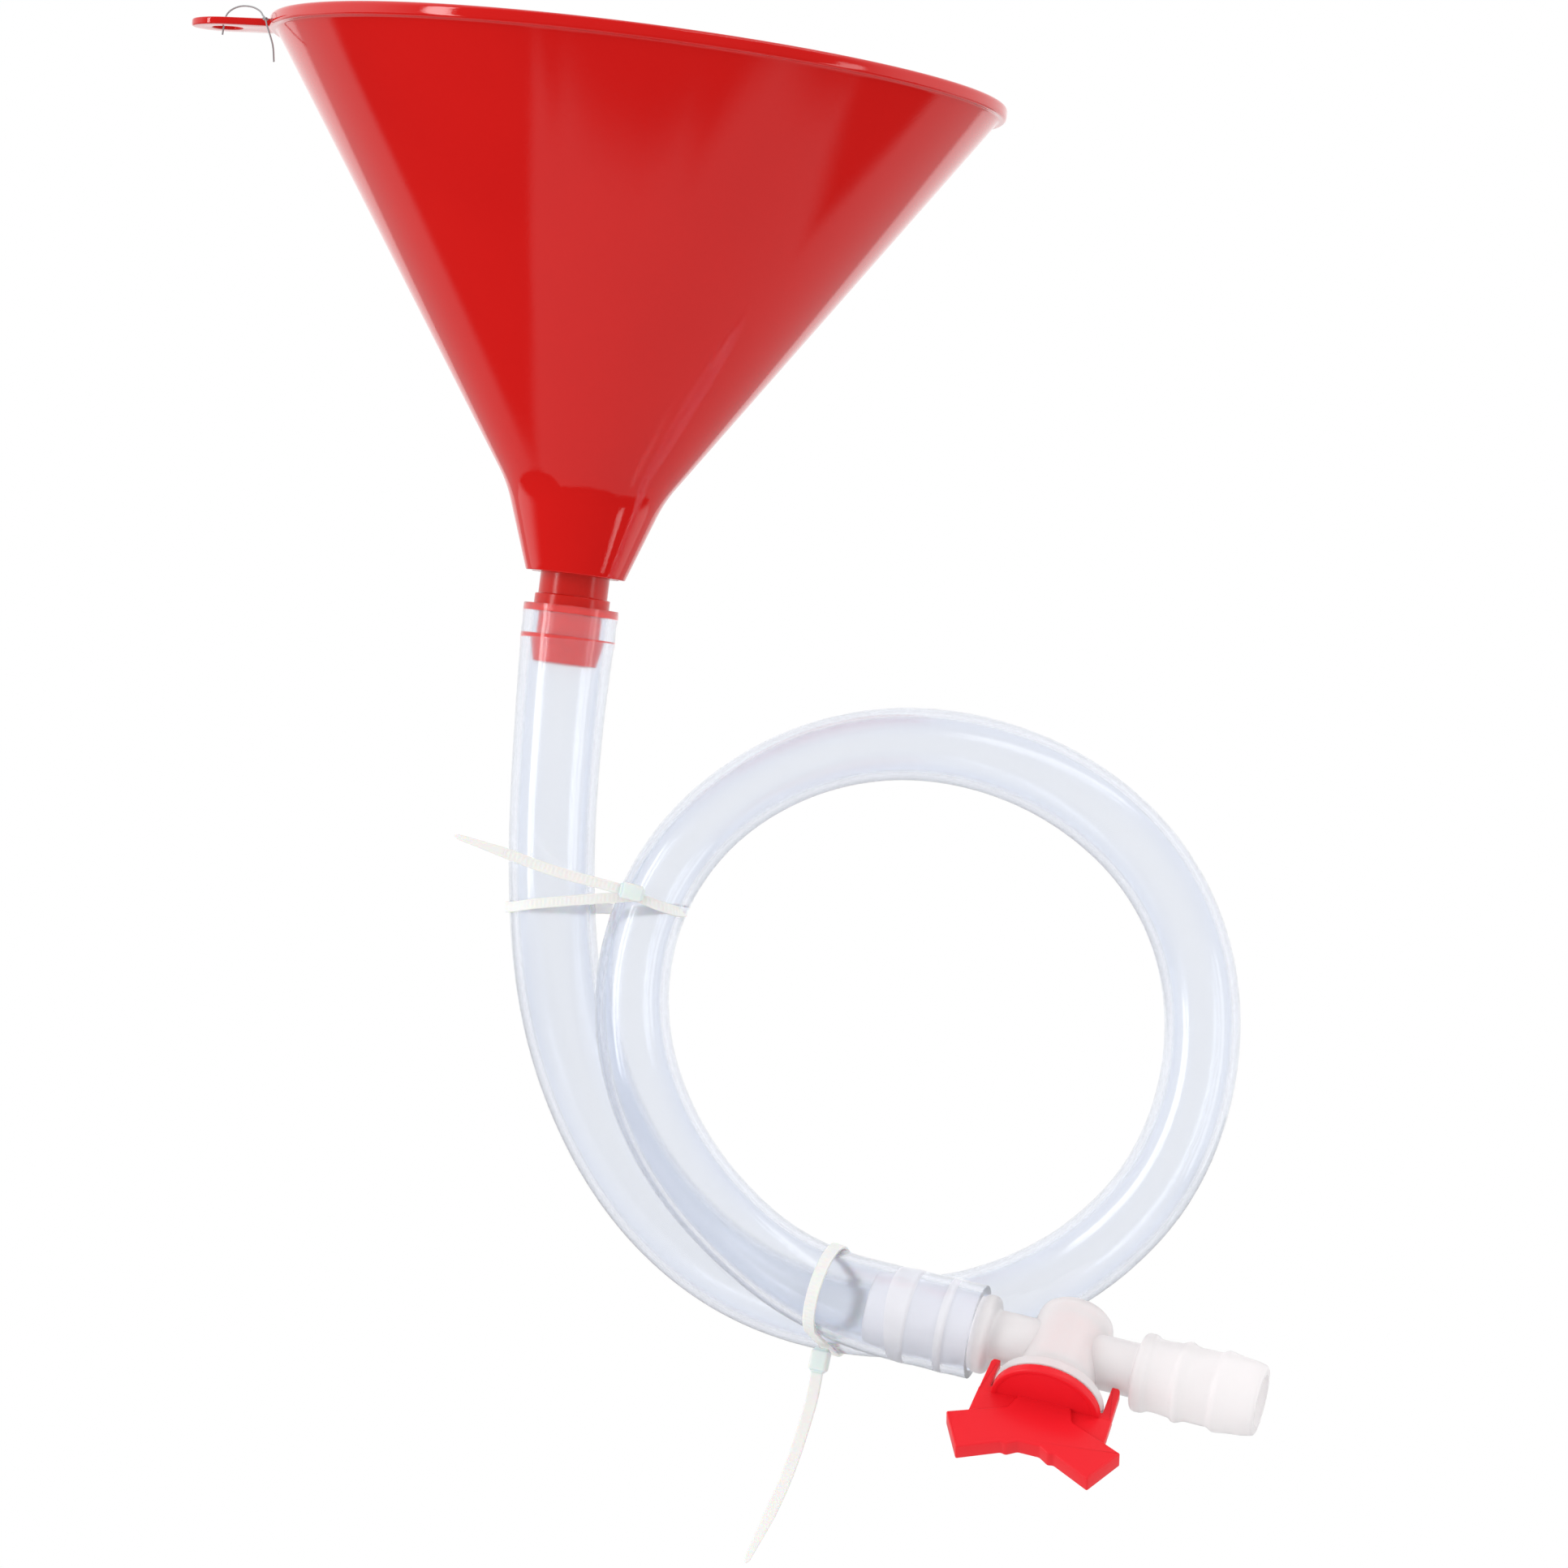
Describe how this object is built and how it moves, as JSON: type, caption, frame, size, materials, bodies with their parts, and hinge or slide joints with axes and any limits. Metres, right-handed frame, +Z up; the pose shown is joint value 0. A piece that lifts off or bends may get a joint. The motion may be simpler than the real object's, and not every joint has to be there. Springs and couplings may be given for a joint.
{
  "type": "funnel",
  "caption": "Wide-mouth utility funnel with a barbed spout, a clear flexible hose coiled on itself and held by cable ties, and a plug valve with a winged key at the hose's end.",
  "frame": {"origin": "centre of the rim's top face, on the funnel's axis", "axes": "+Z up along the funnel's axis, out of the mouth; +X towards the hose's loop and away from the hang tab; +Y towards the back, away from the valve's key"},
  "size_m": [0.3579, 0.2158, 0.4316],
  "materials": {
    "funnel_red": "glossy moulded polypropylene with soft milky reflections",
    "adapter_red": "glossy moulded polypropylene, slightly more orange than the funnel",
    "clear_vinyl": "clear flexible vinyl with a faint blue cast at its edges",
    "natural_nylon": "milky translucent nylon",
    "grey_thread": "twisted grey thread",
    "natural_polyethylene": "translucent natural polyethylene, softly waxy",
    "key_red": "satin crimson moulding",
    "seal_black": "black nitrile rubber"
  },
  "bodies": {
    "funnel_and_hose": {"funnel": "funnel_red", "spout_adapter": "adapter_red", "hose": "clear_vinyl", "upper_cable_tie": "natural_nylon", "lower_cable_tie": "natural_nylon", "tag_thread": "grey_thread", "valve_body": "natural_polyethylene"},
    "key": {"valve_key": "key_red", "key_o_ring_lower": "seal_black", "key_o_ring_upper": "seal_black"}
  },
  "joints": [
    {"name": "key_turn", "type": "hinge", "parent": "funnel_and_hose", "child": "key", "pos_m": [0.1683, -0.0216, -0.3548], "axis": [-0.2241, -0.6693, -0.7084], "range_deg": [0, 90]}
  ]
}
